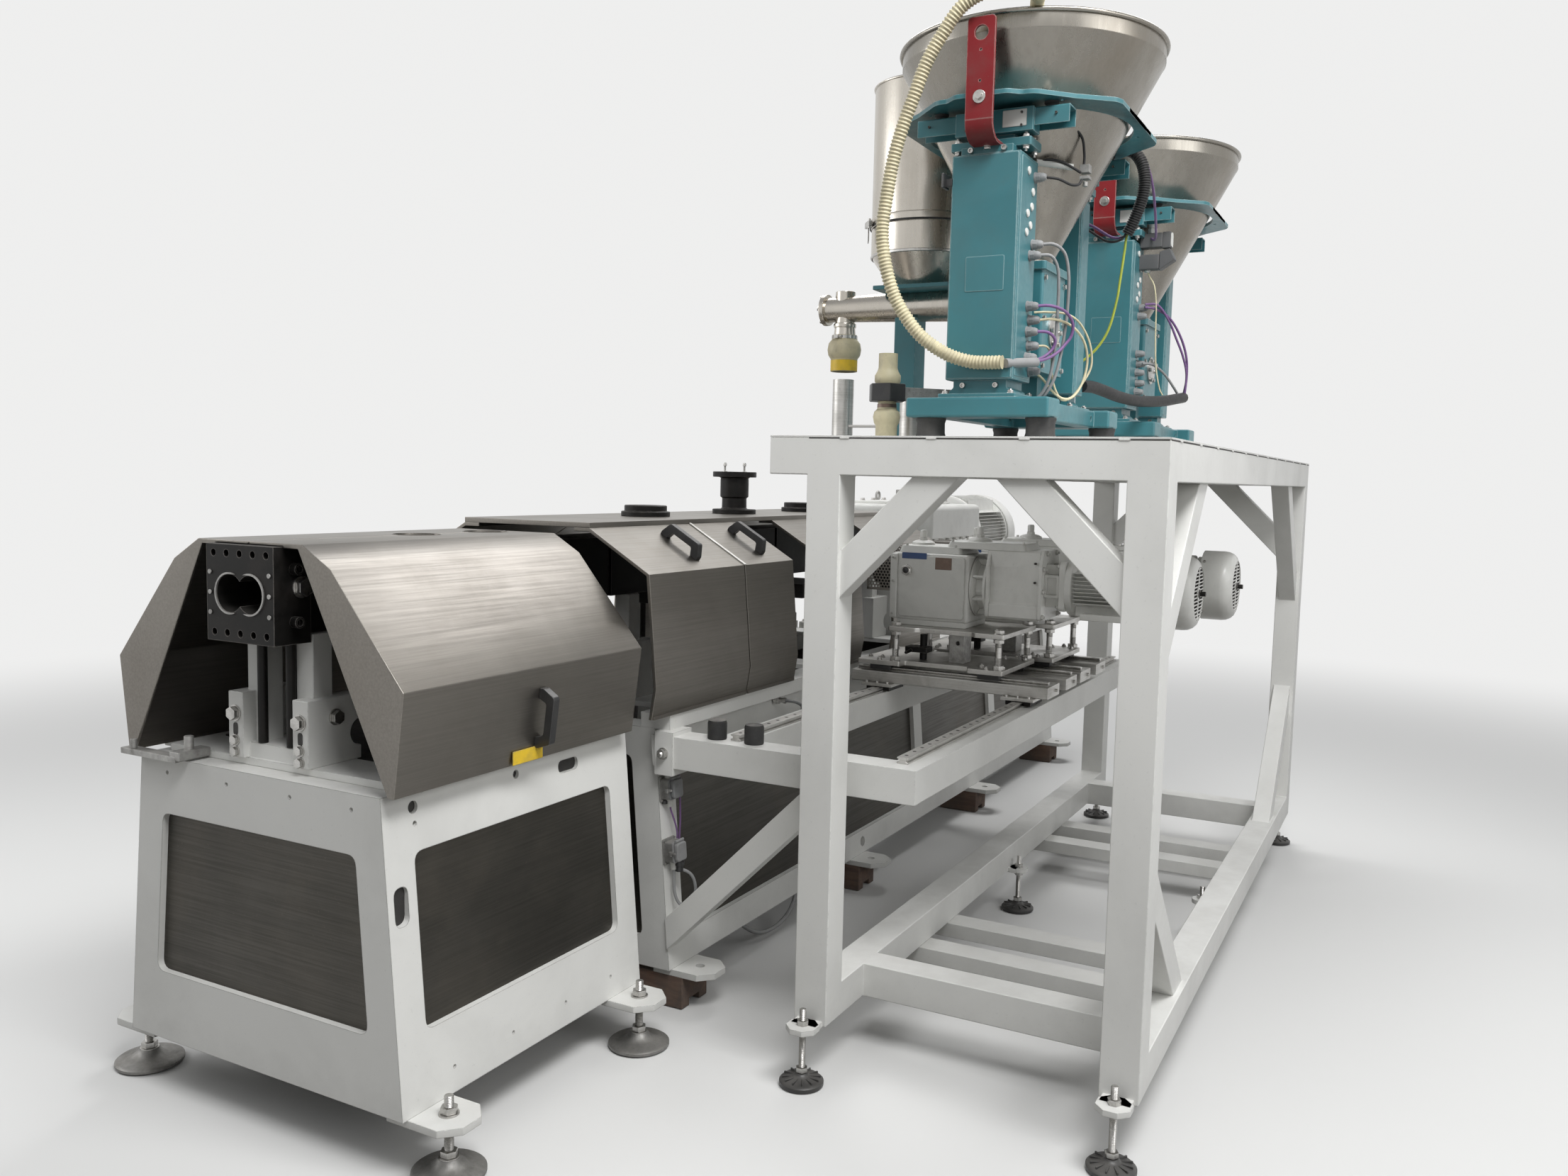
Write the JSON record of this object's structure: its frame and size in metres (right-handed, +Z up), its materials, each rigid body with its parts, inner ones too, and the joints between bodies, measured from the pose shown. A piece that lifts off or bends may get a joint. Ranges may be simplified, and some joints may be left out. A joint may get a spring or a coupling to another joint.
{
  "type": "twin-screw plastic extruder line",
  "caption": "Twin-screw plastic extruder on two welded frames, with hooded barrel, side feeders on rails, a steel platform and dosing feeders with hoppers.",
  "frame": {"origin": "centre of the footprint on the floor", "axes": "+X along the machine from the die end to the motor, +Z up; the platform and its feeders stand on the -Y side"},
  "size_m": [5.43, 2.6593, 2.951],
  "materials": {
    "white_paint": "satin",
    "brushed_steel": "brushed",
    "dark_steel": "brushed",
    "grey_steel": "dusty",
    "black_steel": "blackened",
    "black_plastic": "satin",
    "timber": "rough",
    "aluminium": "milled",
    "black_rubber": "matte",
    "machine_paint": "satin",
    "teal_paint": "satin",
    "red_paint": "satin",
    "polished_steel": "polished",
    "cream_plastic": "matte"
  },
  "bodies": {
    "machine": {"front_frame": "white_paint", "front_panels": "dark_steel", "front_feet": "grey_steel", "front_pillars": "white_paint", "front_barrel": "black_steel", "front_hood_right": "brushed_steel", "front_hood_left": "brushed_steel", "hood_handles": "black_plastic", "rear_frame": "white_paint", "rear_panels": "dark_steel", "rear_foot_plates": "white_paint", "timber_blocks": "timber", "rear_hoods_right": "brushed_steel", "rear_hoods_left": "brushed_steel", "rear_top_strip": "brushed_steel", "rear_barrel": "black_steel", "rear_pillars": "white_paint", "vent_ports": "black_steel", "socket_boxes": "aluminium", "feeder_table": "white_paint", "table_rails": "grey_steel", "table_bumpers": "black_rubber", "drive_gearbox": "machine_paint", "coupling_guard": "black_steel", "main_motor": "machine_paint", "platform_columns": "white_paint", "platform_top_beams": "white_paint", "platform_bottom_beams": "white_paint", "fork_channels": "white_paint", "platform_braces": "white_paint", "platform_deck": "white_paint", "platform_feet": "black_steel", "down_pipes": "aluminium", "feeder_1_base": "teal_paint", "feeder_1_stand": "teal_paint", "feeder_1_hopper": "polished_steel", "feeder_2_base": "teal_paint", "feeder_2_stand": "teal_paint", "feeder_screw_boxes": "teal_paint", "feeder_straps": "red_paint", "feeder_2_hopper": "polished_steel", "feeder_rubber_feet": "black_rubber", "feeder_3_stand": "teal_paint", "feeder_3_hopper": "polished_steel", "feeder_3_screw": "polished_steel", "clear_sleeves": "cream_plastic", "cream_hose": "cream_plastic"},
    "side_carriage_1": {"side_carriage_1": "aluminium"},
    "side_feeder_1": {"side_stand_1": "aluminium", "side_gearbox_1": "machine_paint", "side_reducer_1": "machine_paint", "side_motor_1": "machine_paint", "side_guard_1": "brushed_steel"},
    "side_carriage_2": {"side_carriage_2": "aluminium"},
    "side_feeder_2": {"side_stand_2": "aluminium", "side_gearbox_2": "machine_paint", "side_reducer_2": "machine_paint", "side_motor_2": "machine_paint", "side_guard_2": "brushed_steel"}
  },
  "joints": [
    {"name": "carriage_1_travel", "type": "slide", "parent": "machine", "child": "side_carriage_1", "axis": [1, 0, 0], "range_m": [-0.9, 0]},
    {"name": "feeder_1_docking", "type": "slide", "parent": "side_carriage_1", "child": "side_feeder_1", "axis": [0, 1, 0], "range_m": [-0.06, 0.08]},
    {"name": "carriage_2_travel", "type": "slide", "parent": "machine", "child": "side_carriage_2", "axis": [1, 0, 0], "range_m": [0, 0.4]},
    {"name": "feeder_2_docking", "type": "slide", "parent": "side_carriage_2", "child": "side_feeder_2", "axis": [0, 1, 0], "range_m": [-0.06, 0.08]}
  ]
}
